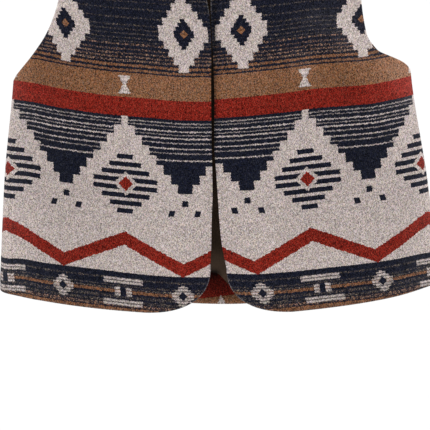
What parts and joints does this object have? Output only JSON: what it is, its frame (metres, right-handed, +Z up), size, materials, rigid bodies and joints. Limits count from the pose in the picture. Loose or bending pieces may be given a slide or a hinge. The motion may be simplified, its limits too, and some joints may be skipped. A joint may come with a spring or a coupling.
{
  "type": "gilet",
  "caption": "Open-front sleeveless wool gilet in its worn form: hollow, with V neckline, open armholes, rounded front corners and a lined back, held up by the wearer's shoulders.",
  "frame": {"origin": "middle of the neck opening on the centre plane and above the side seams, level with the middle of the shoulder seams, where the wearer's shoulders hold the garment", "axes": "+Z up along the garment's length, the fronts face -Y, +X towards the wearer's left"},
  "size_m": [0.4853, 0.2521, 0.5077],
  "materials": {
    "wool_front": "brushed wool jacquard in cream, navy, rust red and tan bands, matt and heathered",
    "wool_back": "brushed wool jacquard in cream, navy, rust red and tan bands, matt and heathered",
    "wool_hem": "the same wool turned up inside the back hem, rust red over tan",
    "lining": "smooth dark brown satin with a low sheen"
  },
  "bodies": {
    "root": {"front_right": "wool_front", "front_left": "wool_front", "back": "wool_back", "back_hem": "wool_hem", "back_lining": "lining"}
  },
  "joints": []
}
